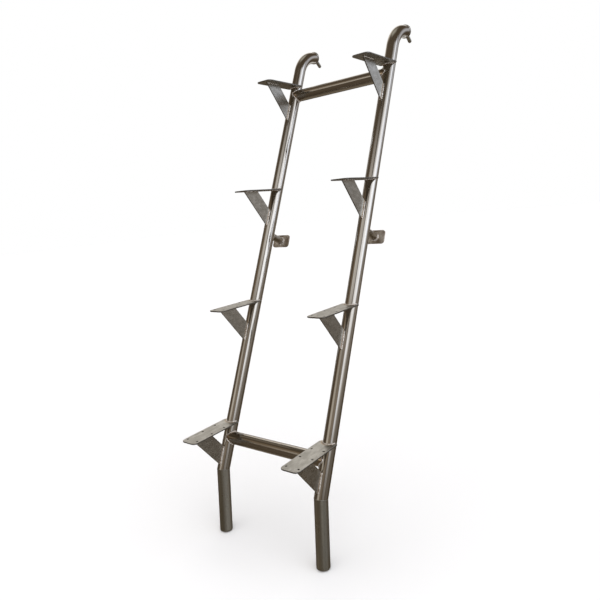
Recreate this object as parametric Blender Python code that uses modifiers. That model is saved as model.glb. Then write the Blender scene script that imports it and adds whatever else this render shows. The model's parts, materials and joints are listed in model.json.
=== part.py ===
"""Boat boarding ladder: a welded stainless frame of round tube with four pairs of tread brackets.

Metres, +Z up. +X is to the right of someone climbing, +Y points to the boat and -Y to the climber.
The world origin is midway between the roots of the two hook pins, where the ladder hangs.
"""
import math

import bmesh
import bpy
from mathutils import Matrix, Vector

# Tube frame
TUBE_RADIUS = 0.016
TUBE_WALL = 0.002
RAIL_SPACING = 0.302
RAIL_LEAN = math.radians(25.0)
LEG_LEAN = math.radians(5.0)
KNEE_HEIGHT = 0.159

# Hook at the top of each rail
HOOK_START_HEIGHT = 1.184
HOOK_BEND_RADIUS = 0.085
HOOK_BEND_ANGLE = math.radians(55.0)
HOOK_END_LENGTH = 0.014
HOOK_BEND_STEPS = 11
CAP_RADIUS = 0.0173
CAP_THICKNESS = 0.005
CAP_EDGE = 0.0008
PIN_RADIUS = 0.005
PIN_LENGTH = 0.037
PIN_DROP = math.radians(39.0)  # below level

# Tread brackets, numbered 1 at the top to 4 at the bottom
LOWEST_TREAD_HEIGHT = 0.271
TREAD_RISE = 0.2892
TREAD_COUNT = 4
PLATE_THICKNESS = 0.003
PLATE_WIDTH = 0.048
PLATE_REACH = 0.154
PLATE_BACK = 0.003
TIP_CORNER = 0.011
EAR_CORNER = 0.007
HOLE_RADIUS = 0.0026
HOLE_SIDE = 0.016
HOLES_FROM_TIP = (0.015, 0.063, 0.105)
GUSSET_THICKNESS = 0.003
GUSSET_SETBACK = 0.0165
GUSSET_DROP = 0.0945
GUSSET_WIDTH = 0.041
EDGE_SOFTENING = 0.0004

# Cross tubes, measured down from the top face of the tread above
TOP_CROSS_DROP = 0.028
BOTTOM_CROSS_DROP = 0.0397

# Standoffs that rest on the hull
STANDOFF_HEIGHT = 0.728
STANDOFF_LENGTH = 0.056
STUB_RADIUS = 0.0095
PAD_WIDTH = 0.054
PAD_HEIGHT = 0.035
PAD_THICKNESS = 0.004
PAD_CORNER = 0.007

# Plugs in the open ends of the legs
PLUG_FLANGE = 0.0035
PLUG_SPIGOT = 0.014
PLUG_EDGE = 0.0018

# Modelling
GAP = 0.0003
TUBE_SIDES = 32
SMALL_SIDES = 20
HOLE_SIDES = 10
HOLE_STAGGER = 5.0  # degrees each hole's corners turn, so that no three holes' corners line up
CORNER_STEPS = 5
SMOOTH_ANGLE = math.radians(30.0)
WELD = 0.00001
CUTTER_SIZE = 0.12

# Finishes: colour and roughness
POLISHED = ((0.56, 0.53, 0.50), 0.16)
SATIN = ((0.47, 0.46, 0.44), 0.38)
DULL = ((0.33, 0.32, 0.31), 0.34)

KNEE = Vector((0.0, KNEE_HEIGHT * math.tan(LEG_LEAN), KNEE_HEIGHT))
SIDES = {"left": -1, "right": 1}


def rail_y(height):
    """Y of a rail's centreline at a height above the feet."""
    return KNEE.y + (height - KNEE_HEIGHT) * math.tan(RAIL_LEAN)


def along_rail(height):
    """Distance from the knee, along the rail, of a height above the feet."""
    return (height - KNEE_HEIGHT) / math.cos(RAIL_LEAN)


HOOK_START = along_rail(HOOK_START_HEIGHT)


def hook_point(angle):
    """Point of the hook's bend in the rail's own frame (Z along the rail, Y behind it)."""
    y = HOOK_BEND_RADIUS * (1.0 - math.cos(angle))
    z = HOOK_START + HOOK_BEND_RADIUS * math.sin(angle)
    return Vector((0.0, y, z))


HOOK_AXIS = Vector((0.0, math.sin(HOOK_BEND_ANGLE), math.cos(HOOK_BEND_ANGLE)))
HOOK_END = hook_point(HOOK_BEND_ANGLE) + HOOK_AXIS * HOOK_END_LENGTH
RAIL_TURN = Matrix.Rotation(-RAIL_LEAN, 3, "X")
FACING_BACK = (-math.pi / 2, 0, 0)


def hang_point():
    """Middle of the line between the two pin roots, measured from the feet."""
    root = HOOK_END + HOOK_AXIS * (GAP + CAP_THICKNESS)
    return KNEE + RAIL_TURN @ root


def clear_scene():
    for obj in list(bpy.data.objects):
        bpy.data.objects.remove(obj, do_unlink=True)


def new_collection(name):
    collection = bpy.data.collections.new(name)
    bpy.context.scene.collection.children.link(collection)
    return collection


def steel(name, finish):
    """A bare steel material of its own for one part."""
    colour, roughness = finish
    material = bpy.data.materials.new(name)
    material.use_nodes = True
    shader = material.node_tree.nodes["Principled BSDF"]
    shader.inputs["Base Color"].default_value = (*colour, 1.0)
    shader.inputs["Metallic"].default_value = 1.0
    shader.inputs["Roughness"].default_value = roughness
    return material


def add_part(name, mesh, material, parent, location=(0, 0, 0), rotation=(0, 0, 0)):
    """Link a mesh as a named part, placed in its parent's frame."""
    obj = bpy.data.objects.new(name, mesh)
    PARTS.objects.link(obj)
    mesh.materials.append(material)
    mesh.shade_smooth()
    mesh.set_sharp_from_angle(angle=SMOOTH_ANGLE)
    obj.parent = parent
    obj.location = location
    obj.rotation_euler = rotation
    return obj


def add_cutter(name, mesh, parent, location=(0, 0, 0), rotation=(0, 0, 0)):
    obj = bpy.data.objects.new(name, mesh)
    CUTTERS.objects.link(obj)
    obj.parent = parent
    obj.location = location
    obj.rotation_euler = rotation
    obj.hide_render = True
    obj.display_type = "WIRE"
    return obj


def cut(obj, cutter):
    boolean = obj.modifiers.new("cut_" + cutter.name, "BOOLEAN")
    boolean.operation = "DIFFERENCE"
    boolean.solver = "EXACT"
    boolean.object = cutter


def hollow(obj, wall=TUBE_WALL):
    shell = obj.modifiers.new("wall", "SOLIDIFY")
    shell.thickness = wall
    shell.offset = -1.0
    shell.use_even_offset = True


def mesh_from_curve(curve, name):
    """Turn a curve into a mesh with its seams welded, and remove the curve."""
    source = bpy.data.objects.new(name + "_curve", curve)
    bpy.context.scene.collection.objects.link(source)
    graph = bpy.context.evaluated_depsgraph_get()
    mesh = bpy.data.meshes.new_from_object(source.evaluated_get(graph))
    bpy.data.objects.remove(source, do_unlink=True)
    mesh.materials.clear()
    body = bmesh.new()
    body.from_mesh(mesh)
    bmesh.ops.remove_doubles(body, verts=body.verts, dist=WELD)
    bmesh.ops.recalc_face_normals(body, faces=body.faces)
    body.to_mesh(mesh)
    body.free()
    return mesh


def cone_mesh(name, radius, length, sides, closed=True):
    """A cylinder that starts at its own origin and runs up its own Z."""
    body = bmesh.new()
    bmesh.ops.create_cone(body, cap_ends=closed, segments=sides, radius1=radius,
                          radius2=radius, depth=length)
    bmesh.ops.translate(body, verts=body.verts, vec=(0.0, 0.0, length / 2))
    mesh = bpy.data.meshes.new(name)
    body.to_mesh(mesh)
    body.free()
    return mesh


def block_mesh(name, size, centre):
    body = bmesh.new()
    bmesh.ops.create_cube(body, size=size)
    bmesh.ops.translate(body, verts=body.verts, vec=centre)
    mesh = bpy.data.meshes.new(name)
    body.to_mesh(mesh)
    body.free()
    return mesh


def path_tube_mesh(name, points, radius):
    """An open tube surface swept along points."""
    curve = bpy.data.curves.new(name, "CURVE")
    curve.dimensions = "3D"
    curve.fill_mode = "FULL"
    curve.bevel_depth = radius
    curve.bevel_resolution = TUBE_SIDES // 2 - 2
    curve.use_fill_caps = False
    spline = curve.splines.new("POLY")
    spline.points.add(len(points) - 1)
    for slot, point in zip(spline.points, points):
        slot.co = (*point, 1.0)
    return mesh_from_curve(curve, name)


def arc(centre, radius, start, end, steps):
    """Points of an arc in a plane, angles in degrees."""
    points = []
    for step in range(steps + 1):
        angle = math.radians(start + (end - start) * step / steps)
        points.append((centre[0] + radius * math.cos(angle), centre[1] + radius * math.sin(angle)))
    return points


def rounded_outline(x_half, y_low, y_high, low_corner, high_corner):
    """A rectangle about the Y axis whose low and high corners have their own radii."""
    low = y_low + low_corner
    high = y_high - high_corner
    outline = arc((x_half - low_corner, low), low_corner, -90, 0, CORNER_STEPS)
    outline += arc((x_half - high_corner, high), high_corner, 0, 90, CORNER_STEPS)
    outline += arc((high_corner - x_half, high), high_corner, 90, 180, CORNER_STEPS)
    outline += arc((low_corner - x_half, low), low_corner, 180, 270, CORNER_STEPS)
    return outline


def sheet_mesh(name, outlines, thickness):
    """A flat sheet centred on its own XY plane; outlines after the first are holes."""
    curve = bpy.data.curves.new(name, "CURVE")
    curve.dimensions = "2D"
    curve.fill_mode = "BOTH"
    curve.extrude = thickness / 2 - EDGE_SOFTENING
    curve.bevel_depth = EDGE_SOFTENING
    curve.bevel_resolution = 0
    curve.offset = -EDGE_SOFTENING
    for outline in outlines:
        spline = curve.splines.new("POLY")
        spline.points.add(len(outline) - 1)
        for slot, (x, y) in zip(spline.points, outline):
            slot.co = (x, y, 0.0, 1.0)
        spline.use_cyclic_u = True
    return mesh_from_curve(curve, name)


def profile_mesh(name, profile):
    """A profile of (radius, height) points, from the top of the axis down its outer side."""
    points = [(radius, 0.0, height) for radius, height in profile]
    edges = [(index, index + 1) for index in range(len(points) - 1)]
    mesh = bpy.data.meshes.new(name)
    mesh.from_pydata(points, edges, [])
    return mesh


def turn(obj, sides):
    """Turn a part's profile about its own Z."""
    screw = obj.modifiers.new("turned", "SCREW")
    screw.axis = "Z"
    screw.angle = 2 * math.pi
    screw.steps = sides
    screw.render_steps = sides
    screw.use_merge_vertices = True
    screw.merge_threshold = WELD
    screw.use_smooth_shade = True


def rail_cutter(side, root):
    """The space a rail fills, with the gap its neighbours keep."""
    length = HOOK_START + 2 * CUTTER_SIZE
    mesh = cone_mesh("rail_space", TUBE_RADIUS + GAP, length, TUBE_SIDES)
    start = KNEE - RAIL_TURN @ Vector((0.0, 0.0, CUTTER_SIZE))
    start.x = SIDES[side] * RAIL_SPACING / 2
    return add_cutter("rail_space_" + side, mesh, root, start, (-RAIL_LEAN, 0, 0))


def mitre_cutter(side, root, above):
    """Half space above or below the mitre between a rail and its leg."""
    part = "above" if above else "below"
    shift = CUTTER_SIZE / 2 - GAP / 2
    centre = (0.0, 0.0, shift if above else -shift)
    mesh = block_mesh("mitre_" + part, CUTTER_SIZE, centre)
    place = (SIDES[side] * RAIL_SPACING / 2, KNEE.y, KNEE.z)
    tilt = (-(RAIL_LEAN + LEG_LEAN) / 2, 0, 0)
    return add_cutter("mitre_" + part + "_" + side, mesh, root, place, tilt)


def make_rail(side, root):
    name = "rail_" + side
    points = [Vector((0, 0, -2 * TUBE_RADIUS)), Vector((0, 0, HOOK_START))]
    for step in range(1, HOOK_BEND_STEPS + 1):
        points.append(hook_point(HOOK_BEND_ANGLE * step / HOOK_BEND_STEPS))
    points.append(HOOK_END)
    mesh = path_tube_mesh(name, points, TUBE_RADIUS)
    place = (SIDES[side] * RAIL_SPACING / 2, KNEE.y, KNEE.z)
    rail = add_part(name, mesh, steel(name, POLISHED), root, place, (-RAIL_LEAN, 0, 0))
    hollow(rail)
    cut(rail, mitre_cutter(side, root, above=False))
    return rail


def make_leg(side, root):
    """The short lower tube, from the plug in its foot up to its mitre with the rail."""
    name = "leg_" + side
    mesh = cone_mesh(name, TUBE_RADIUS, KNEE.length + TUBE_RADIUS, TUBE_SIDES, closed=False)
    place = KNEE.normalized() * (PLUG_FLANGE + GAP)
    place.x = SIDES[side] * RAIL_SPACING / 2
    leg = add_part(name, mesh, steel(name, DULL), root, place, (-LEG_LEAN, 0, 0))
    hollow(leg)
    cut(leg, mitre_cutter(side, root, above=True))
    return leg


def make_leg_plug(side, leg):
    """A turned plug that closes the foot; its flange is as wide as the tube."""
    name = "leg_plug_" + side
    inner = TUBE_RADIUS - TUBE_WALL - GAP
    edge = arc((TUBE_RADIUS - PLUG_EDGE, PLUG_EDGE), PLUG_EDGE, 0, -90, CORNER_STEPS)
    top = PLUG_FLANGE + PLUG_SPIGOT
    profile = [(0.0, top), (inner, top), (inner, PLUG_FLANGE), (TUBE_RADIUS, PLUG_FLANGE),
               *edge, (0.0, 0.0)]
    place = (0, 0, -PLUG_FLANGE - GAP)
    plug = add_part(name, profile_mesh(name, profile), steel(name, DULL), leg, place)
    turn(plug, TUBE_SIDES)
    return plug


def make_hook_cap(side, rail):
    """A disc, slightly proud of the tube, that closes the hook's end."""
    name = "hook_cap_" + side
    face = CAP_RADIUS - CAP_EDGE
    profile = [(0.0, CAP_THICKNESS), (face, CAP_THICKNESS),
               (CAP_RADIUS, CAP_THICKNESS - CAP_EDGE), (CAP_RADIUS, CAP_EDGE),
               (face, 0.0), (0.0, 0.0)]
    cap = add_part(name, profile_mesh(name, profile), steel(name, POLISHED), rail,
                   HOOK_END + HOOK_AXIS * GAP, (-HOOK_BEND_ANGLE, 0, 0))
    turn(cap, TUBE_SIDES)
    return cap


def make_hook_pin(side, cap):
    """A round pin with a domed tip, set on the cap's outer face and pointing down and back."""
    name = "hook_pin_" + side
    root = -2 * PIN_RADIUS
    dome = arc((0.0, PIN_LENGTH - PIN_RADIUS), PIN_RADIUS, 90, 0, CORNER_STEPS)
    profile = [(0.0, PIN_LENGTH), *dome[1:], (PIN_RADIUS, root), (0.0, root)]
    cap_rise = math.pi / 2 - RAIL_LEAN - HOOK_BEND_ANGLE
    pin = add_part(name, profile_mesh(name, profile), steel(name, DULL), cap,
                   (0, 0, CAP_THICKNESS), (-(cap_rise + PIN_DROP), 0, 0))
    turn(pin, SMALL_SIDES)
    slab = block_mesh(name + "_base", CUTTER_SIZE, (0, 0, CAP_THICKNESS + GAP - CUTTER_SIZE / 2))
    cut(pin, add_cutter(name + "_base", slab, cap))
    return pin


def make_standoff_stub(side, rail, cutter):
    """A short tube off the back of the rail, coped to fit round it."""
    name = "standoff_stub_" + side
    mesh = cone_mesh(name, STUB_RADIUS, STANDOFF_LENGTH - GAP, SMALL_SIDES, closed=False)
    place = (0, 0, along_rail(STANDOFF_HEIGHT))
    stub = add_part(name, mesh, steel(name, POLISHED), rail, place, FACING_BACK)
    hollow(stub)
    cut(stub, cutter)
    return stub


def make_standoff_pad(side, rail):
    """The plate on the end of a stub, parallel to the rail, that rests on the hull."""
    name = "standoff_pad_" + side
    outline = rounded_outline(PAD_WIDTH / 2, -PAD_HEIGHT / 2, PAD_HEIGHT / 2,
                              PAD_CORNER, PAD_CORNER)
    mesh = sheet_mesh(name, [outline], PAD_THICKNESS)
    place = (0, STANDOFF_LENGTH + PAD_THICKNESS / 2, along_rail(STANDOFF_HEIGHT))
    return add_part(name, mesh, steel(name, SATIN), rail, place, FACING_BACK)


def make_cross_tube(name, height, root, cutters):
    """A tube between the rails, coped to fit round them at both ends."""
    mesh = cone_mesh(name, TUBE_RADIUS, RAIL_SPACING, TUBE_SIDES, closed=False)
    place = (-RAIL_SPACING / 2, rail_y(height), height)
    tube = add_part(name, mesh, steel(name, POLISHED), root, place, (0, math.pi / 2, 0))
    hollow(tube)
    for cutter in cutters:
        cut(tube, cutter)
    return tube


def make_tread_plate(number, side, height, root, cutter):
    """The flat plate a tread board is screwed to, notched round the rail."""
    name = "tread_plate_%d_%s" % (number, side)
    outlines = [rounded_outline(PLATE_WIDTH / 2, -PLATE_REACH, -PLATE_BACK,
                                TIP_CORNER, EAR_CORNER)]
    for row, from_tip in enumerate(HOLES_FROM_TIP):
        for x in (-HOLE_SIDE, HOLE_SIDE):
            centre = (x, from_tip - PLATE_REACH)
            start = HOLE_STAGGER * (2 * row + (x > 0))
            outlines.append(arc(centre, HOLE_RADIUS, start, start + 360, HOLE_SIDES)[:-1])
    mesh = sheet_mesh(name, outlines, PLATE_THICKNESS)
    place = (SIDES[side] * RAIL_SPACING / 2, rail_y(height), height - PLATE_THICKNESS / 2)
    plate = add_part(name, mesh, steel(name, SATIN), root, place)
    cut(plate, cutter)
    return plate


def gusset_outline():
    """The strip's outline, x forwards (to the tread's tip) and y up, from the rail's centreline.

    Both long edges run on to the centreline, where the rail's own space trims them.
    """
    run = PLATE_REACH - GUSSET_SETBACK
    end = TUBE_RADIUS / math.cos(RAIL_LEAN) + GUSSET_DROP * math.tan(RAIL_LEAN)
    slope = math.atan2(GUSSET_DROP, run - end)
    inner_run = run - GUSSET_WIDTH / math.sin(slope)
    outline = [(inner_run, 0.0), (run, 0.0)]
    for start in (run, inner_run):
        reach = start / (math.cos(slope) + math.sin(slope) * math.tan(RAIL_LEAN))
        outline.append((start - reach * math.cos(slope), -reach * math.sin(slope)))
    return outline


def make_gusset(number, side, height, root, cutter):
    """The upright strip that braces a tread plate down to the front of its rail."""
    name = "gusset_%d_%s" % (number, side)
    mesh = sheet_mesh(name, [gusset_outline()], GUSSET_THICKNESS)
    top = height - PLATE_THICKNESS - GAP
    place = (SIDES[side] * RAIL_SPACING / 2, rail_y(height), top)
    upright = (math.pi / 2, 0, -math.pi / 2)
    gusset = add_part(name, mesh, steel(name, SATIN), root, place, upright)
    cut(gusset, cutter)
    return gusset


def build_ladder():
    root = bpy.data.objects.new("ladder_root", None)
    PARTS.objects.link(root)
    root.location = -hang_point()
    spaces = {side: rail_cutter(side, root) for side in SIDES}
    for side in SIDES:
        rail = make_rail(side, root)
        make_leg_plug(side, make_leg(side, root))
        make_hook_pin(side, make_hook_cap(side, rail))
        make_standoff_stub(side, rail, spaces[side])
        make_standoff_pad(side, rail)
    for number in range(1, TREAD_COUNT + 1):
        height = LOWEST_TREAD_HEIGHT + (TREAD_COUNT - number) * TREAD_RISE
        for side in SIDES:
            make_tread_plate(number, side, height, root, spaces[side])
            make_gusset(number, side, height, root, spaces[side])
    highest = LOWEST_TREAD_HEIGHT + (TREAD_COUNT - 1) * TREAD_RISE
    make_cross_tube("cross_tube_top", highest - TOP_CROSS_DROP, root, spaces.values())
    make_cross_tube("cross_tube_bottom", LOWEST_TREAD_HEIGHT - BOTTOM_CROSS_DROP, root,
                    spaces.values())


clear_scene()
PARTS = new_collection("boarding_ladder")
CUTTERS = new_collection("cutters")
build_ladder()
bpy.context.view_layer.update()
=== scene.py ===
"""Looks for the boat boarding ladder: smooth tubes, ripple welds, steel and a studio."""

import json
import math
import random

import bmesh
import bpy
from mathutils import Matrix, Vector
from mathutils.kdtree import KDTree


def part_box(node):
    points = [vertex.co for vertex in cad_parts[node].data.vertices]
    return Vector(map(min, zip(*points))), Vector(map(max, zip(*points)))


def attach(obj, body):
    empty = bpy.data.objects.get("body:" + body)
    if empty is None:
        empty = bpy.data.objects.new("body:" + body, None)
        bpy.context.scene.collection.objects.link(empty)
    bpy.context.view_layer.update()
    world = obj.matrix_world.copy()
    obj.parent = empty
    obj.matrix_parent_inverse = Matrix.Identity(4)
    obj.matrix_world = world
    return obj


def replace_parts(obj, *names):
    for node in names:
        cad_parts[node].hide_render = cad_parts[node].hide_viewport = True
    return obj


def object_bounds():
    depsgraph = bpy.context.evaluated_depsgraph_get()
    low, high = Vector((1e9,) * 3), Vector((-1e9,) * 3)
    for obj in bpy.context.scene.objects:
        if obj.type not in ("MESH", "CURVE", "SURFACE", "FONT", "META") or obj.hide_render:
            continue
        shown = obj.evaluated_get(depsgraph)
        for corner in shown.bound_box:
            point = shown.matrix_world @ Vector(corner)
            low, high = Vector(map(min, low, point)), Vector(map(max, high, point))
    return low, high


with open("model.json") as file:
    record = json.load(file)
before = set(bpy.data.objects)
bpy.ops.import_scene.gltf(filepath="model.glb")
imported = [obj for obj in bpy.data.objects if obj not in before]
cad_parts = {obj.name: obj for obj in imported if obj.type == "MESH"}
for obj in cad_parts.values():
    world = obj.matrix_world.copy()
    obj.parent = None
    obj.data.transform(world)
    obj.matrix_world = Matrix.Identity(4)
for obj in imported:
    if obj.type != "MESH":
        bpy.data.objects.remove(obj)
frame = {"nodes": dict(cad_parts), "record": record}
CAD_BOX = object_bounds()

# Sizes repeated from the part's own source, in metres
RAIL_LEAN = math.radians(25.0)
LEG_LEAN = math.radians(5.0)
KNEE_HEIGHT = 0.159
HOOK_START_HEIGHT = 1.184
HOOK_BEND_RADIUS = 0.085
HOOK_BEND_ANGLE = math.radians(55.0)
HOOK_END_LENGTH = 0.014
CAP_THICKNESS = 0.005
PIN_RADIUS = 0.005
PIN_DROP = math.radians(39.0)
PLUG_FLANGE = 0.0035
TUBE_WALL = 0.002
PLATE_THICKNESS = 0.003
PLATE_REACH = 0.154
PLATE_BACK = 0.003
GUSSET_THICKNESS = 0.003
GUSSET_SETBACK = 0.0165
GUSSET_DROP = 0.0945
GUSSET_WIDTH = 0.041
STANDOFF_HEIGHT = 0.728
STANDOFF_LENGTH = 0.056
STUB_RADIUS = 0.0095
GAP = 0.0003

SIDES = {"left": -1, "right": 1}
TREADS = range(1, 5)


def mount(name):
    """Position of one of the record's mounts."""
    for entry in frame["record"]["mounts"]:
        if entry["name"] == name:
            return Vector(entry["pos_m"])
    raise KeyError(name)


def box_centre(node):
    low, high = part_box(node)
    return (low + high) / 2


TUBE_RADIUS = (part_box("cross_tube_top")[1].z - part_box("cross_tube_top")[0].z) / 2
RAIL_X = mount("tread_seat_1_right").x
RAIL_UP = Vector((0.0, math.sin(RAIL_LEAN), math.cos(RAIL_LEAN)))
RAIL_BACK = Vector((0.0, math.cos(RAIL_LEAN), -math.sin(RAIL_LEAN)))
LEG_UP = Vector((0.0, math.sin(LEG_LEAN), math.cos(LEG_LEAN)))
ACROSS = Vector((1, 0, 0))
HOOK_AXIS = RAIL_BACK * math.sin(HOOK_BEND_ANGLE) + RAIL_UP * math.cos(HOOK_BEND_ANGLE)
KNEE_LEAN = (RAIL_LEAN + LEG_LEAN) / 2  # the mitre between rail and leg halves their angle
KNEE_NORMAL = Vector((0, math.sin(KNEE_LEAN), math.cos(KNEE_LEAN)))


def along_rail(height):
    """Distance from the knee, along the rail, of a height above the feet."""
    return (height - KNEE_HEIGHT) / math.cos(RAIL_LEAN)


HOOK_START = along_rail(HOOK_START_HEIGHT)


def hook_centre():
    """Root of the hook pins, measured from the knee in the rail's own Y and Z."""
    bend = HOOK_BEND_ANGLE
    reach = HOOK_END_LENGTH + GAP + CAP_THICKNESS
    y = HOOK_BEND_RADIUS * (1 - math.cos(bend)) + math.sin(bend) * reach
    z = HOOK_START + HOOK_BEND_RADIUS * math.sin(bend) + math.cos(bend) * reach
    return y, z


def knee_point():
    """The knee in the row frame, whose origin is at the pin roots."""
    y, z = hook_centre()
    return -(RAIL_BACK * y + RAIL_UP * z)


KNEE = knee_point()
FEET = KNEE - LEG_UP * (KNEE_HEIGHT / math.cos(LEG_LEAN))  # midway between the two feet


def rail_frame(x, y, z, side=0):
    """A point given in the rail's own frame (Y behind it, Z along it from the knee)."""
    point = KNEE + RAIL_BACK * y + RAIL_UP * z
    point.x = x + side * RAIL_X
    return point


def rail_y(z):
    """Y of the rails' axis at a height in the row frame."""
    return KNEE.y + (z - KNEE.z) * math.tan(RAIL_LEAN)


def turns(count):
    """Angles evenly spaced over one full turn."""
    return [2 * math.pi * k / count for k in range(count)]


def running_lengths(points):
    """Length of the path from its first point to each point."""
    lengths = [0.0]
    for a, b in zip(points, points[1:]):
        lengths.append(lengths[-1] + (b - a).length)
    return lengths


def new_mesh(body, name):
    """Turn a bmesh into a mesh and free it."""
    mesh = bpy.data.meshes.new(name)
    body.to_mesh(mesh)
    body.free()
    return mesh


# ---------------------------------------------------------------- node helpers

def shader_material(name):
    material = bpy.data.materials.new(name)
    material.use_nodes = True
    tree = material.node_tree
    return material, tree, tree.nodes["Principled BSDF"]


def node(tree, kind, **settings):
    made = tree.nodes.new(kind)
    for key, value in settings.items():
        setattr(made, key, value)
    return made


def maths(tree, operation, a, b=None):
    made = node(tree, "ShaderNodeMath", operation=operation)
    for slot, value in zip(made.inputs, (a, b)):
        if value is None:
            continue
        if isinstance(value, (int, float)):
            slot.default_value = value
        else:
            tree.links.new(value, slot)
    return made.outputs[0]


def map_range(tree, value, low, high, to_low=0.0, to_high=1.0):
    """Smooth step from to_low at low to to_high at high; low may be the greater."""
    made = node(tree, "ShaderNodeMapRange", interpolation_type="SMOOTHSTEP")
    made.inputs["From Min"].default_value = low
    made.inputs["From Max"].default_value = high
    made.inputs["To Min"].default_value = to_low
    made.inputs["To Max"].default_value = to_high
    tree.links.new(value, made.inputs["Value"])
    return made.outputs["Result"]


def mix_colour(tree, factor, a, b, blend="MIX"):
    made = node(tree, "ShaderNodeMix", data_type="RGBA", blend_type=blend)
    if isinstance(factor, (int, float)):
        made.inputs[0].default_value = factor
    else:
        tree.links.new(factor, made.inputs[0])
    for slot, value in ((made.inputs[6], a), (made.inputs[7], b)):
        if isinstance(value, tuple):
            slot.default_value = (*value, 1.0)
        else:
            tree.links.new(value, slot)
    return made.outputs[2]


def noise(tree, vector, scale, detail=3.0, roughness=0.55, distortion=0.0):
    made = node(tree, "ShaderNodeTexNoise")
    made.inputs["Scale"].default_value = scale
    made.inputs["Detail"].default_value = detail
    made.inputs["Roughness"].default_value = roughness
    made.inputs["Distortion"].default_value = distortion
    tree.links.new(vector, made.inputs["Vector"])
    return made.outputs["Fac"]


def mapping(tree, vector, scale=(1, 1, 1), rotation=(0, 0, 0), location=(0, 0, 0),
            kind="POINT"):
    made = node(tree, "ShaderNodeMapping", vector_type=kind)
    made.inputs["Scale"].default_value = scale
    made.inputs["Rotation"].default_value = rotation
    made.inputs["Location"].default_value = location
    tree.links.new(vector, made.inputs["Vector"])
    return made.outputs["Vector"]


def dot(tree, vector, fixed):
    made = node(tree, "ShaderNodeVectorMath", operation="DOT_PRODUCT")
    tree.links.new(vector, made.inputs[0])
    made.inputs[1].default_value = fixed
    return made.outputs["Value"]


def object_position(tree):
    return node(tree, "ShaderNodeTexCoord").outputs["Object"]


def tube_position(tree):
    """The position that swept tubes carry: across the tube in X and Y, along it in Z."""
    made = node(tree, "ShaderNodeAttribute", attribute_name="tube")
    return made.outputs["Vector"]


def rail_distance(tree, position):
    """Distance from the nearer rail's axis, in metres."""
    turned = mapping(tree, position, kind="TEXTURE", location=tuple(KNEE),
                     rotation=(-RAIL_LEAN, 0, 0))
    split = node(tree, "ShaderNodeSeparateXYZ")
    tree.links.new(turned, split.inputs[0])
    x = maths(tree, "SUBTRACT", maths(tree, "ABSOLUTE", split.outputs["X"]), RAIL_X)
    squares = maths(tree, "ADD", maths(tree, "MULTIPLY", x, x),
                    maths(tree, "MULTIPLY", split.outputs["Y"], split.outputs["Y"]))
    return maths(tree, "SQRT", squares)


# ---------------------------------------------------------------- materials

# heat tint beside a weld, from cooler to hotter, and how far it reaches in metres
STRAW = (0.68, 0.57, 0.44)
BRONZE = (0.46, 0.34, 0.25)
TINT_REACH = 0.012
# darker colour on the cut rims of plates and gussets: part cut-edge oxide, part painted shade
RIM_OXIDE_AND_SHADE = (0.30, 0.30, 0.29)
WELD_SILVER = (0.96, 0.93, 0.90)
WELD_STRAW = (0.90, 0.80, 0.70)
COPPER = (0.62, 0.40, 0.27)
SOOT = (0.22, 0.20, 0.19)
BUMP_DISTANCE = 0.0004
BROAD_STREAKS = 0.23  # noise scale of the broad streaks over that of the fine ones
GRAIN_DARKNESS = 0.45
STREAK_ROUGHNESS = 0.6  # share of the streaks in the roughness; blotches have the rest
STREAK_RELIEF = 0.7  # share of the streaks in the relief; grain has the rest
WELD_METALLIC = 0.75
WELD_BUMP = 0.25


def steel(name, colour, dark, rough, coords, stretch, tint=None, grain=0.0, bump=0.05,
          streak_scale=700.0, blotch_scale=28.0, grain_scale=1500.0, metallic=1.0, faces=None):
    """Stainless steel with polishing streaks, blotches, fine grain and heat tint.

    rough is the least and the greatest roughness, stretch draws the streaks out, tint gives the
    heat at a point, and faces is the axis that a sheet's faces look along, for its cut rims, which
    are painted darker: part cut-edge oxide, part painted shade.
    """
    material, tree, shader = shader_material(name)
    position = coords(tree)
    streaks = noise(tree, mapping(tree, position, scale=stretch), streak_scale, 4.0, 0.6)
    broad = noise(tree, mapping(tree, position, scale=stretch), streak_scale * BROAD_STREAKS,
                  2.0, 0.5)
    blotch = noise(tree, position, blotch_scale, 3.0, 0.6, 0.4)
    fine = noise(tree, position, grain_scale, 2.0, 0.7)
    base = mix_colour(tree, map_range(tree, broad, 0.35, 0.70), dark, colour)
    base = mix_colour(tree, map_range(tree, blotch, 0.42, 0.75, 0.0, 0.35), base, dark)
    if grain:
        base = mix_colour(tree, map_range(tree, fine, 0.40, 0.72, 0.0, grain), base,
                          tuple(c * GRAIN_DARKNESS for c in dark))
    if tint is not None:
        heat = tint(tree, position)
        ragged = maths(tree, "MULTIPLY", heat, map_range(tree, blotch, 0.2, 0.8, 0.6, 1.2))
        base = mix_colour(tree, map_range(tree, ragged, 0.15, 0.6, 0.0, 0.75), base, STRAW)
        base = mix_colour(tree, map_range(tree, ragged, 0.62, 1.0, 0.0, 0.8), base, BRONZE)
    # the cut rims are painted darker: part cut-edge oxide, part painted shade
    if faces is not None:
        base = mix_colour(tree, rim_oxide_and_shade_mask(tree, faces), base, RIM_OXIDE_AND_SHADE)
    tree.links.new(base, shader.inputs["Base Color"])
    shader.inputs["Metallic"].default_value = metallic
    mixed = maths(tree, "ADD", maths(tree, "MULTIPLY", streaks, STREAK_ROUGHNESS),
                  maths(tree, "MULTIPLY", blotch, 1 - STREAK_ROUGHNESS))
    roughness = map_range(tree, mixed, 0.30, 0.70, rough[0], rough[1])
    tree.links.new(roughness, shader.inputs["Roughness"])
    height = maths(tree, "ADD", maths(tree, "MULTIPLY", streaks, STREAK_RELIEF),
                   maths(tree, "MULTIPLY", fine, 1 - STREAK_RELIEF))
    add_relief(tree, shader, height, bump)
    return material


def add_relief(tree, shader, height, strength):
    relief = node(tree, "ShaderNodeBump")
    relief.inputs["Strength"].default_value = strength
    relief.inputs["Distance"].default_value = BUMP_DISTANCE
    tree.links.new(height, relief.inputs["Height"])
    tree.links.new(relief.outputs["Normal"], shader.inputs["Normal"])


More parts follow.
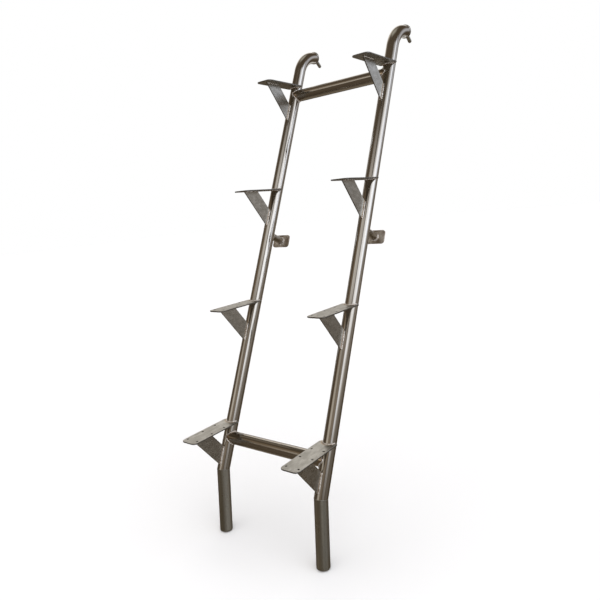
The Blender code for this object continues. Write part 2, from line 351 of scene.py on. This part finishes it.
def rim_oxide_and_shade_mask(tree, face_axis):
    """Mask of the darker rims, part cut-edge oxide and part painted shade: 1 on the cut rims of a
    sheet whose faces look along face_axis, 0 on the faces.
    """
    normal = node(tree, "ShaderNodeNewGeometry").outputs["True Normal"]
    facing = maths(tree, "ABSOLUTE", dot(tree, normal, face_axis))
    return map_range(tree, facing, 0.8, 0.4)


def heat_attribute(tree, position):
    """The heat that swept tubes carry. It ignores position, which heat_near_rail needs."""
    return node(tree, "ShaderNodeAttribute", attribute_name="heat").outputs["Fac"]


def heat_near_rail(tree, position):
    """Heat from how near a point is to the rail that it is welded to."""
    distance = rail_distance(tree, position)
    return map_range(tree, distance, TUBE_RADIUS + TINT_REACH * 0.7, TUBE_RADIUS, 0.0, 1.0)


def weld_metal(name):
    """Bright rippled bead, silver to pale straw, with small coppery and sooty spots."""
    material, tree, shader = shader_material(name)
    position = object_position(tree)
    oxide = noise(tree, position, 110.0, 3.0, 0.6, 0.6)
    spots = noise(tree, position, 420.0, 2.0, 0.6)
    base = mix_colour(tree, map_range(tree, oxide, 0.45, 0.70), WELD_SILVER, WELD_STRAW)
    base = mix_colour(tree, map_range(tree, spots, 0.60, 0.70, 0.0, 0.85), base, COPPER)
    base = mix_colour(tree, map_range(tree, oxide, 0.56, 0.66, 0.0, 0.75), base, SOOT)
    tree.links.new(base, shader.inputs["Base Color"])
    shader.inputs["Metallic"].default_value = WELD_METALLIC
    tree.links.new(map_range(tree, spots, 0.3, 0.7, 0.14, 0.42), shader.inputs["Roughness"])
    add_relief(tree, shader, spots, WELD_BUMP)
    return material


POLISHED = (0.70, 0.68, 0.65)
POLISHED_DARK = (0.53, 0.50, 0.455)
SATIN = (0.83, 0.84, 0.825)
SATIN_DARK = (0.62, 0.625, 0.60)
DULL = (0.88, 0.92, 0.89)
DULL_DARK = (0.56, 0.58, 0.55)
PAD = (0.90, 0.85, 0.77)
PAD_DARK = (0.34, 0.27, 0.20)

# how the streaks are drawn out: the smaller the number, the longer along that axis
ALONG_TUBE = (1.0, 1.0, 0.012)
ALONG_LEG = (1.0, 1.0, 0.02)
ALONG_X = (0.012, 1.0, 1.0)
ALONG_PLATE = (1.0, 0.35, 1.0)
ALONG_GUSSET = (1.0, 0.5, 1.0)
EVEN = (1.0, 1.0, 1.0)

RAIL_STEEL = steel("rail_steel", POLISHED, POLISHED_DARK, (0.06, 0.17), tube_position,
                   ALONG_TUBE, heat_attribute, bump=0.05)
LEG_STEEL = steel("leg_steel", DULL, DULL_DARK, (0.24, 0.46), tube_position,
                  ALONG_LEG, heat_attribute, grain=0.35, bump=0.16, streak_scale=420.0,
                  grain_scale=700.0)
CROSS_STEEL = steel("cross_tube_steel", POLISHED, POLISHED_DARK, (0.08, 0.18), object_position,
                    ALONG_X, heat_near_rail, bump=0.03)
PLATE_STEEL = steel("plate_steel", SATIN, SATIN_DARK, (0.36, 0.50), object_position,
                    ALONG_PLATE, heat_near_rail, grain=0.45, bump=0.11, streak_scale=520.0,
                    grain_scale=750.0, faces=Vector((0, 0, 1)))
GUSSET_STEEL = steel("gusset_steel", SATIN, SATIN_DARK, (0.22, 0.38), object_position,
                     ALONG_GUSSET, heat_near_rail, grain=0.42, bump=0.10, streak_scale=520.0,
                     grain_scale=750.0, faces=Vector((1, 0, 0)))
SMALL_STEEL = steel("fitting_steel", POLISHED, POLISHED_DARK, (0.12, 0.26), object_position,
                    EVEN, None, grain=0.15, bump=0.08, streak_scale=260.0)
PAD_STEEL = steel("pad_steel", PAD, PAD_DARK, (0.32, 0.50), object_position,
                  EVEN, None, grain=0.7, bump=0.25, streak_scale=200.0,
                  blotch_scale=90.0, grain_scale=500.0, metallic=0.75)
PIN_STEEL = steel("pin_steel", DULL, DULL_DARK, (0.22, 0.36), object_position,
                  EVEN, None, grain=0.3, bump=0.08, streak_scale=300.0)
WELD = weld_metal("weld_bead")


def dress(name, material):
    """Give a carried-over CAD node its material."""
    data = frame["nodes"][name].data
    if not data.materials:
        data.materials.append(material)
    for index in range(len(data.materials)):
        data.materials[index] = material


# ---------------------------------------------------------------- welds

class Bead:
    """A weld's path, with the direction it stands proud in at each point."""

    def __init__(self, name, points, outs, size, closed=False, flat=1.0):
        self.name = name
        self.points = points
        self.outs = outs
        self.size = size
        self.closed = closed
        self.flat = flat


RIPPLE = 0.0020  # distance between ripples
RING_STEP = 0.0005
BEAD_SIDES = 10
FEWEST_RINGS = 8
SWELL = (0.76, 1.24)  # thinnest and thickest at a ripple, over the bead's radius
RIPPLE_DEPTH = 0.13
RIPPLE_LAG = 0.45  # how far a ripple's sides trail its crown, in ripples
END_TAPER = 1.5  # length of a rounded end, in radii
END_THINNEST = 0.02
# bead radii in metres
PLATE_BEAD = 0.0018
GUSSET_BEAD = 0.0019
BRACE_BEAD = 0.0013
CROSS_BEAD = 0.0019
STUB_BEAD = 0.0019
PAD_BEAD = 0.0025
CAP_BEAD = 0.0008
PIN_BEAD = 0.0012
KNEE_BEAD = 0.0006
KNEE_FLATNESS = 0.25
# points along a bead's path, before it is resampled
NOTCH_HALF_STEPS = 20
STRAIGHT_STEPS = 8
CROSS_STEPS = 96
STANDOFF_STEPS = 48
TUBE_END_STEPS = 64
PIN_STEPS = 32


def resample(points, outs, step, closed):
    """Evenly spaced (point, out, distance) along a path, and the path's length."""
    if closed:
        points = points + points[:1]
        outs = outs + outs[:1]
    lengths = running_lengths(points)
    count = max(FEWEST_RINGS, round(lengths[-1] / step))
    stops = count if closed else count + 1
    made = []
    index = 0
    for k in range(stops):
        target = lengths[-1] * k / count
        while index < len(points) - 2 and lengths[index + 1] < target:
            index += 1
        span = lengths[index + 1] - lengths[index]
        t = 0.0 if span == 0 else (target - lengths[index]) / span
        made.append((points[index].lerp(points[index + 1], t),
                     outs[index].lerp(outs[index + 1], t).normalized(), target))
    return made, lengths[-1]


def bead_mesh(bead, seed):
    """A closed rippled body along the bead's path."""
    rng = random.Random(seed)
    rings, total = resample(bead.points, bead.outs, RING_STEP, bead.closed)
    ripples = max(2, round(total / RIPPLE))
    swell = [rng.uniform(*SWELL) for _ in range(ripples + 1)]
    if bead.closed:
        swell[-1] = swell[0]
    body = bmesh.new()
    made = []
    count = len(rings)
    for k, (centre, out, s) in enumerate(rings):
        ahead = rings[(k + 1) % count][0] if bead.closed or k + 1 < count else centre
        behind = rings[k - 1][0] if bead.closed or k else centre
        tangent = (ahead - behind).normalized()
        side = tangent.cross(out).normalized()
        up = side.cross(tangent)
        place = s / total * ripples
        cell = min(int(place), ripples - 1)
        size = bead.size * (swell[cell] * (1 - place + cell) + swell[cell + 1] * (place - cell))
        if not bead.closed:
            ends = min(s, total - s) / (bead.size * END_TAPER)
            size *= math.sqrt(max(END_THINNEST, 1 - (1 - min(1.0, ends)) ** 2))
        ring = []
        for angle in turns(BEAD_SIDES):
            lift = math.cos(angle)
            phase = (place - RIPPLE_LAG * lift) % 1.0
            coin = 1.0 + RIPPLE_DEPTH * (math.sin(math.pi * phase) - 0.5)
            offset = (up * (lift * size * coin * bead.flat)
                      + side * (math.sin(angle) * size * coin))
            ring.append(body.verts.new(centre + offset))
        made.append(ring)
    pairs = list(zip(made, made[1:]))
    if bead.closed:
        pairs.append((made[-1], made[0]))
    for a, b in pairs:
        for j in range(BEAD_SIDES):
            n = (j + 1) % BEAD_SIDES
            body.faces.new((a[j], a[n], b[n], b[j]))
    if not bead.closed:
        body.faces.new(list(reversed(made[0])))
        body.faces.new(made[-1])
    bmesh.ops.recalc_face_normals(body, faces=body.faces)
    mesh = new_mesh(body, bead.name)
    mesh.shade_smooth()
    return mesh


def gusset_contact(number):
    """Where a gusset touches.

    Returns the heights where its two long edges meet the front of the rail, the Y of its two
    top corners, and the height of its top edge.
    """
    seat = mount("tread_seat_%d_right" % number)
    y0 = rail_y(seat.z)
    top = seat.z - PLATE_THICKNESS - GAP
    run = PLATE_REACH - GUSSET_SETBACK
    end = TUBE_RADIUS / math.cos(RAIL_LEAN) + GUSSET_DROP * math.tan(RAIL_LEAN)
    slope = math.atan2(GUSSET_DROP, run - end)
    inner = run - GUSSET_WIDTH / math.sin(slope)
    lean = math.tan(RAIL_LEAN)
    heights = []
    for start in (run, inner):
        # forward distance from the rail's axis falls linearly along the edge
        at_top = start + rail_y(top) - y0
        rate = math.cos(slope) + math.sin(slope) * lean
        t = (at_top - TUBE_RADIUS / math.cos(RAIL_LEAN)) / rate
        heights.append(top - t * math.sin(slope))
    return heights, (y0 - run, y0 - inner), top


def beads_of_tread(number, side):
    """Round the plate's notch above and below, and both sides of the gusset's two ends."""
    sign = SIDES[side]
    x = sign * RAIL_X
    tag = "%d_%s" % (number, side)
    seat = mount("tread_seat_%d_%s" % (number, side))
    beads = []
    widest = math.acos(PLATE_BACK * math.cos(RAIL_LEAN) / TUBE_RADIUS)
    for place, z, up in (("top", seat.z, 1), ("under", seat.z - PLATE_THICKNESS, -1)):
        points, outs = [], []
        for k in range(2 * NOTCH_HALF_STEPS + 1):
            angle = widest * (k / NOTCH_HALF_STEPS - 1)
            forward = TUBE_RADIUS * math.cos(angle) / math.cos(RAIL_LEAN)
            points.append(Vector((x + TUBE_RADIUS * math.sin(angle), rail_y(z) - forward, z)))
            outs.append(Vector((math.sin(angle), -math.cos(angle), up)).normalized())
        beads.append(Bead("weld_plate_%s_%s" % (place, tag), points, outs, PLATE_BEAD))
    (low, high), (tip_y, inner_y), top = gusset_contact(number)
    for k, way in enumerate((-1, 1)):
        dx = way * (GUSSET_THICKNESS / 2 + 0.0006)
        forward = math.sqrt(TUBE_RADIUS ** 2 - dx ** 2)
        points = []
        for step in range(STRAIGHT_STEPS + 1):
            z = low + (high - low) * step / STRAIGHT_STEPS
            points.append(Vector((x + dx, rail_y(z) - forward / math.cos(RAIL_LEAN), z)))
        out = Vector((way, -math.cos(RAIL_LEAN), math.sin(RAIL_LEAN))).normalized()
        beads.append(Bead("weld_gusset_%s_%s" % ("ab"[k], tag), points,
                          [out] * len(points), GUSSET_BEAD))
        dx = way * (GUSSET_THICKNESS / 2 + 0.0003)
        z = top + GAP
        points = []
        for step in range(STRAIGHT_STEPS + 1):
            # the bead stops just short of the gusset's corners
            along = 0.03 + 0.94 * step / STRAIGHT_STEPS
            points.append(Vector((x + dx, tip_y + (inner_y - tip_y) * along, z)))
        out = Vector((way, 0, -1)).normalized()
        beads.append(Bead("weld_brace_%s_%s" % ("ab"[k], tag), points,
                          [out] * len(points), BRACE_BEAD))
    return beads


def beads_of_cross_tube(node_name, side):
    """Round the coped end of a cross tube, on the rail's surface."""
    sign = SIDES[side]
    centre = box_centre(node_name)
    points, outs = [], []
    for angle in turns(CROSS_STEPS):
        around = RAIL_UP * math.cos(angle) - RAIL_BACK * math.sin(angle)
        inset = math.sqrt(max(0.0, 1 - math.sin(angle) ** 2)) * TUBE_RADIUS
        inset = max(inset, TUBE_RADIUS * 0.12)
        point = Vector((sign * (RAIL_X - inset), centre.y, centre.z)) + around * TUBE_RADIUS
        points.append(point)
        outs.append((around * 0.8 - Vector((sign * 0.6, 0, 0))).normalized())
    return [Bead("weld_%s_%s" % (node_name, side), points, outs, CROSS_BEAD, closed=True)]


def beads_of_standoff(side):
    """Round the stub's coped end on the rail and round its flat end on the pad."""
    sign = SIDES[side]
    z = along_rail(STANDOFF_HEIGHT)
    beads = []
    for name, flat, size in (("stub", None, STUB_BEAD), ("pad", STANDOFF_LENGTH, PAD_BEAD)):
        points, outs = [], []
        for angle in turns(STANDOFF_STEPS):
            x, dz = STUB_RADIUS * math.cos(angle), STUB_RADIUS * math.sin(angle)
            y = flat if flat else math.sqrt(TUBE_RADIUS ** 2 - x ** 2)
            points.append(rail_frame(x, y, z + dz, sign))
            radial = Vector((math.cos(angle), 0, 0)) + RAIL_UP * math.sin(angle)
            outs.append((radial + RAIL_BACK * (-1 if flat else 1)).normalized())
        beads.append(Bead("weld_%s_%s" % (name, side), points, outs, size, closed=True))
    return beads


def beads_of_hook(side):
    """Round the closing disc and round the pin's root."""
    down = RAIL_BACK * math.cos(HOOK_BEND_ANGLE) - RAIL_UP * math.sin(HOOK_BEND_ANGLE)
    root = Vector((SIDES[side] * RAIL_X, 0, 0))
    end = root - HOOK_AXIS * (CAP_THICKNESS + GAP * 0.5)
    points, outs = [], []
    for angle in turns(TUBE_END_STEPS):
        radial = ACROSS * math.cos(angle) + down * math.sin(angle)
        points.append(end + radial * TUBE_RADIUS)
        outs.append(radial)
    beads = [Bead("weld_cap_" + side, points, outs, CAP_BEAD, closed=True)]
    pin = Vector((0, math.cos(PIN_DROP), -math.sin(PIN_DROP)))
    lift = pin.cross(ACROSS).normalized()
    points, outs = [], []
    for angle in turns(PIN_STEPS):
        around = ACROSS * math.cos(angle) + lift * math.sin(angle)
        # slide along the pin to the cap's face
        point = root + around * PIN_RADIUS
        slide = -((point - root).dot(HOOK_AXIS)) / pin.dot(HOOK_AXIS)
        points.append(point + pin * slide)
        outs.append((around + HOOK_AXIS).normalized())
    beads.append(Bead("weld_pin_" + side, points, outs, PIN_BEAD, closed=True))
    return beads


def beads_of_knee(side):
    """The dressed-down seam where the rail meets its leg."""
    knee = Vector((SIDES[side] * RAIL_X, KNEE.y, KNEE.z))
    points, outs = [], []
    for angle in turns(TUBE_END_STEPS):
        radial = ACROSS * math.cos(angle) + RAIL_BACK * math.sin(angle)
        point = knee + radial * TUBE_RADIUS
        slide = -((point - knee).dot(KNEE_NORMAL)) / RAIL_UP.dot(KNEE_NORMAL)
        points.append(point + RAIL_UP * slide)
        outs.append(radial.normalized())
    return [Bead("weld_knee_" + side, points, outs, KNEE_BEAD, closed=True,
                 flat=KNEE_FLATNESS)]


# ---------------------------------------------------------------- swept tubes

SWEEP_SIDES = 64
PATH_STEP = 0.004
BEND_STEPS = 30
SHARP_ANGLE = math.radians(40)


def swept_tube(name, side, path, mitre_start=None, mitre_end=None):
    """A tube with its bore, swept along a path in the YZ plane.

    mitre_start and mitre_end are (point, normal) planes that cut the ends.
    Each point carries its tube position: across, across, along.
    """
    sign = SIDES[side]
    lengths = running_lengths(path)
    body = bmesh.new()
    tube = body.verts.layers.float_vector.new("tube")
    skins = []
    for radius in (TUBE_RADIUS, TUBE_RADIUS - TUBE_WALL):
        rings = []
        for k, centre in enumerate(path):
            tangent = (path[min(k + 1, len(path) - 1)] - path[max(k - 1, 0)]).normalized()
            back = ACROSS.cross(tangent) * -1
            ring = []
            for angle in turns(SWEEP_SIDES):
                point = centre + (ACROSS * math.cos(angle) + back * math.sin(angle)) * radius
                slide = 0.0
                for plane, here in ((mitre_start, k == 0), (mitre_end, k == len(path) - 1)):
                    if plane and here:
                        slide = -((point - plane[0]).dot(plane[1])) / tangent.dot(plane[1])
                point = point + tangent * slide
                vert = body.verts.new(point + Vector((sign * RAIL_X, 0, 0)))
                # adding the sign gives the two sides different streaks
                vert[tube] = (math.cos(angle) * radius, math.sin(angle) * radius,
                              lengths[k] + slide + sign)
                ring.append(vert)
            rings.append(ring)
        skins.append(rings)
    for rings in skins:
        for a, b in zip(rings, rings[1:]):
            for j in range(SWEEP_SIDES):
                n = (j + 1) % SWEEP_SIDES
                body.faces.new((a[j], a[n], b[n], b[j])).smooth = True
    for end in (0, -1):
        outer, inner = skins[0][end], skins[1][end]
        for j in range(SWEEP_SIDES):
            n = (j + 1) % SWEEP_SIDES
            body.faces.new((outer[j], outer[n], inner[n], inner[j]))
    bmesh.ops.recalc_face_normals(body, faces=body.faces)
    mesh = new_mesh(body, name)
    mesh.set_sharp_from_angle(angle=SHARP_ANGLE)
    return mesh


def spread(start, end, step):
    """Points from start to end, evenly spaced at about step."""
    count = max(1, round((end - start).length / step))
    return [start.lerp(end, k / count) for k in range(count + 1)]


def rail_path():
    """The rail's axis from the knee up and round the hook's bend, at X 0."""
    path = spread(rail_frame(0, 0, 0), rail_frame(0, 0, HOOK_START), PATH_STEP)
    for k in range(1, BEND_STEPS + 1):
        angle = HOOK_BEND_ANGLE * k / BEND_STEPS
        y = HOOK_BEND_RADIUS * (1 - math.cos(angle))
        z = HOOK_START + HOOK_BEND_RADIUS * math.sin(angle)
        path.append(rail_frame(0, y, z))
    path += spread(path[-1], path[-1] + HOOK_AXIS * HOOK_END_LENGTH, PATH_STEP)[1:]
    return path


def leg_path():
    """The leg's axis from its plug up to the knee, at X 0."""
    return spread(FEET + LEG_UP * (PLUG_FLANGE + GAP), Vector(KNEE), PATH_STEP)


def warm(mesh, points):
    """Write how near each vertex is to a weld as the heat it took."""
    heat = mesh.attributes.new("heat", "FLOAT", "POINT")
    tree = KDTree(len(points))
    for k, point in enumerate(points):
        tree.insert(point, k)
    tree.balance()
    for vert, value in zip(mesh.vertices, heat.data):
        distance = tree.find(vert.co)[2]
        value.value = max(0.0, 1.0 - distance / TINT_REACH)


def place(mesh, name, material, slot):
    """Add a piece to the scene, riding on the only body."""
    mesh.materials.append(material)
    obj = bpy.data.objects.new(name, mesh)
    bpy.context.scene.collection.objects.link(obj)
    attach(obj, "root")
    return obj


def build_object():
    beads = []  # a bead's place in this list seeds its ripples
    for side in SIDES:
        for number in TREADS:
            beads += beads_of_tread(number, side)
        for tube in ("cross_tube_top", "cross_tube_bottom"):
            beads += beads_of_cross_tube(tube, side)
        beads += beads_of_standoff(side)
        beads += beads_of_hook(side)
        beads += beads_of_knee(side)
    hot = [point for bead in beads if "knee" not in bead.name for point in bead.points]
    for seed, bead in enumerate(beads):
        dressed = "knee" in bead.name or "cap" in bead.name
        metal = PIN_STEEL if dressed else WELD
        place(bead_mesh(bead, seed), bead.name, metal, "satin_steel")
    above = (KNEE + KNEE_NORMAL * (GAP / 2), KNEE_NORMAL)
    below = (KNEE - KNEE_NORMAL * (GAP / 2), KNEE_NORMAL)
    for side in SIDES:
        mesh = swept_tube("rail_tube_" + side, side, rail_path(), mitre_start=above)
        warm(mesh, hot)
        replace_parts(place(mesh, "rail_tube_" + side, RAIL_STEEL, "polished_steel"), "rail_" + side)
        mesh = swept_tube("leg_tube_" + side, side, leg_path(), mitre_end=below)
        warm(mesh, hot)
        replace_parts(place(mesh, "leg_tube_" + side, LEG_STEEL, "dull_steel"), "leg_" + side)
        dress("leg_plug_" + side, PIN_STEEL)
        dress("hook_cap_" + side, SMALL_STEEL)
        dress("hook_pin_" + side, PIN_STEEL)
        dress("standoff_stub_" + side, SMALL_STEEL)
        dress("standoff_pad_" + side, PAD_STEEL)
        for number in TREADS:
            dress("tread_plate_%d_%s" % (number, side), PLATE_STEEL)
            dress("gusset_%d_%s" % (number, side), GUSSET_STEEL)
    dress("cross_tube_top", CROSS_STEEL)
    dress("cross_tube_bottom", CROSS_STEEL)


# ---------------------------------------------------------------- studio

def direction(azimuth, elevation):
    """Unit vector towards an azimuth (0 is the front, -Y; 90 is +X) and an elevation."""
    a, e = math.radians(azimuth), math.radians(elevation)
    return Vector((math.sin(a) * math.cos(e), -math.cos(a) * math.cos(e), math.sin(e)))


def soft_panel(tree, vector, azimuth, elevation, half_width, half_height, edge):
    """How much of a far soft-edged panel a direction sees, 0 to 1. Sizes in degrees."""
    centre = direction(azimuth, elevation)
    across = Vector((0, 0, 1)).cross(centre).normalized()
    above = centre.cross(across)
    depth = dot(tree, vector, centre)
    seen = None
    for axis, half in ((across, half_width), (above, half_height)):
        # angle off the panel's centre line
        angle = maths(tree, "ABSOLUTE", maths(tree, "ARCTAN2", dot(tree, vector, axis), depth))
        part = map_range(tree, angle, math.radians(half + edge), math.radians(half - edge))
        seen = part if seen is None else maths(tree, "MULTIPLY", seen, part)
    return seen


def add_light_panel(tree, total, vector, colour, *panel):
    """The light so far, with one more panel's light added."""
    seen = soft_panel(tree, vector, *panel)
    lit = mix_colour(tree, seen, (0.0, 0.0, 0.0), colour)
    return mix_colour(tree, 1.0, total, lit, "ADD")


ROOM = (0.098, 0.074, 0.050)
BACKDROP = (1.0, 1.0, 1.0)
FLOOR_COLOUR = (0.895, 0.905, 0.93, 1.0)
FLOOR_ROUGHNESS = 0.9
FLOOR_HALF_SIZE = 20.0
FLOOR_DROP = 0.0005  # how far the floor lies below the feet
SUN_STRENGTH = 2.75
SUN_SPREAD = math.radians(100)
SUN_AT = (30, 72)  # azimuth and elevation, in degrees
# linear colour, then azimuth, elevation, half width, half height and soft edge, in degrees
PANELS = (
    ((1.24, 1.29, 1.37), 71, 26, 20, 15, 9),
    ((1.30, 1.40, 1.58), 107, 22, 15, 12, 7),
    ((0.58, 0.57, 0.55), 4, 43, 23, 9, 6),
    ((0.52, 0.49, 0.44), -19, 21, 17, 8, 7),
    ((0.16, 0.135, 0.11), 22, 22, 18, 8, 6),
    ((0.17, 0.13, 0.09), -45, 30, 8, 10, 8),
    ((0.33, 0.33, 0.33), 80, 6, 16, 7, 7),
    ((0.20, 0.19, 0.18), 122, 0, 30, 9, 9),
    ((0.46, 0.49, 0.55), 148, 18, 18, 10, 8),
    ((0.66, 0.66, 0.65), -168, 5, 10, 30, 7),
    ((0.74, 0.70, 0.65), -138, 32, 20, 15, 11),
    ((0.24, 0.235, 0.225), -146, 15, 22, 9, 9),
    ((0.17, 0.16, 0.145), -103, 8, 14, 22, 11),
    ((0.18, 0.165, 0.14), -108, 48, 12, 10, 8),
    ((0.34, 0.34, 0.30), -140, 76, 14, 14, 9),
    ((0.14, 0.125, 0.10), -125, -50, 22, 12, 10),
    ((0.09, 0.09, 0.09), 75, -24, 60, 14, 12),
)


def make_world():
    """Soft panels in a dim room, which only reflections see, before a plain white backdrop."""
    world = bpy.data.worlds.new("studio")
    bpy.context.scene.world = world
    world.use_nodes = True
    tree = world.node_tree
    tree.nodes.clear()
    vector = node(tree, "ShaderNodeTexCoord").outputs["Generated"]
    total = ROOM
    for colour, *panel in PANELS:
        total = add_light_panel(tree, total, vector, colour, *panel)
    room = node(tree, "ShaderNodeBackground")
    tree.links.new(total, room.inputs["Color"])
    plain = node(tree, "ShaderNodeBackground")
    plain.inputs["Color"].default_value = (*BACKDROP, 1.0)
    camera_ray = node(tree, "ShaderNodeLightPath").outputs["Is Camera Ray"]
    choice = node(tree, "ShaderNodeMixShader")
    tree.links.new(camera_ray, choice.inputs[0])
    tree.links.new(room.outputs[0], choice.inputs[1])
    tree.links.new(plain.outputs[0], choice.inputs[2])
    output = node(tree, "ShaderNodeOutputWorld")
    tree.links.new(choice.outputs[0], output.inputs["Surface"])


def make_floor():
    low, high = CAD_BOX
    body = bmesh.new()
    bmesh.ops.create_grid(body, x_segments=1, y_segments=1, size=FLOOR_HALF_SIZE)
    middle = (0, (low.y + high.y) / 2, low.z - FLOOR_DROP)
    bmesh.ops.translate(body, verts=body.verts, vec=middle)
    mesh = new_mesh(body, "floor")
    floor = bpy.data.objects.new("floor", mesh)
    bpy.context.scene.collection.objects.link(floor)
    material, _, shader = shader_material("floor_white")
    shader.inputs["Base Color"].default_value = FLOOR_COLOUR
    shader.inputs["Roughness"].default_value = FLOOR_ROUGHNESS
    shader.inputs["Specular IOR Level"].default_value = 0.0
    mesh.materials.append(material)
    floor.visible_glossy = False


def make_lights():
    """One very soft overhead sun, which the metal doesn't mirror: it lights the floor evenly."""
    data = bpy.data.lights.new("overhead_softbox", "SUN")
    data.energy = SUN_STRENGTH
    data.angle = SUN_SPREAD
    lamp = bpy.data.objects.new("overhead_softbox", data)
    bpy.context.scene.collection.objects.link(lamp)
    lamp.rotation_euler = direction(*SUN_AT).to_track_quat("Z", "Y").to_euler()
    lamp.visible_glossy = False


# solved from the photograph: metres from the point midway between the feet, and degrees
CAMERA_FROM_FEET = Vector((0.82896, -0.86939, 0.79390))
CAMERA_AZIMUTH = 37.752
CAMERA_ELEVATION = 8.853
CAMERA_ROLL = math.radians(5.229)
SENSOR_WIDTH = 36.0
FOCAL_LENGTH = 32.643
SHIFT_Y = -0.01275
CLIP_END = 200.0


def make_camera():
    """The photograph's viewpoint."""
    back = direction(CAMERA_AZIMUTH, CAMERA_ELEVATION)
    azimuth = math.radians(CAMERA_AZIMUTH)
    right = Vector((math.cos(azimuth), math.sin(azimuth), 0.0))
    down = (-back).cross(right)
    turned_right = right * math.cos(CAMERA_ROLL) + down * math.sin(CAMERA_ROLL)
    turned_down = down * math.cos(CAMERA_ROLL) - right * math.sin(CAMERA_ROLL)
    data = bpy.data.cameras.new("photo_view")
    data.sensor_width = SENSOR_WIDTH
    data.lens = FOCAL_LENGTH
    data.shift_y = SHIFT_Y
    data.clip_end = CLIP_END
    camera = bpy.data.objects.new("photo_view", data)
    bpy.context.scene.collection.objects.link(camera)
    turn = Matrix((turned_right, -turned_down, back)).transposed()
    camera.matrix_world = Matrix.Translation(FEET + CAMERA_FROM_FEET) @ turn.to_4x4()
    bpy.context.scene.camera = camera


bpy.context.scene.view_settings.view_transform = "Standard"
make_camera()
make_world()
make_floor()
make_lights()
build_object()
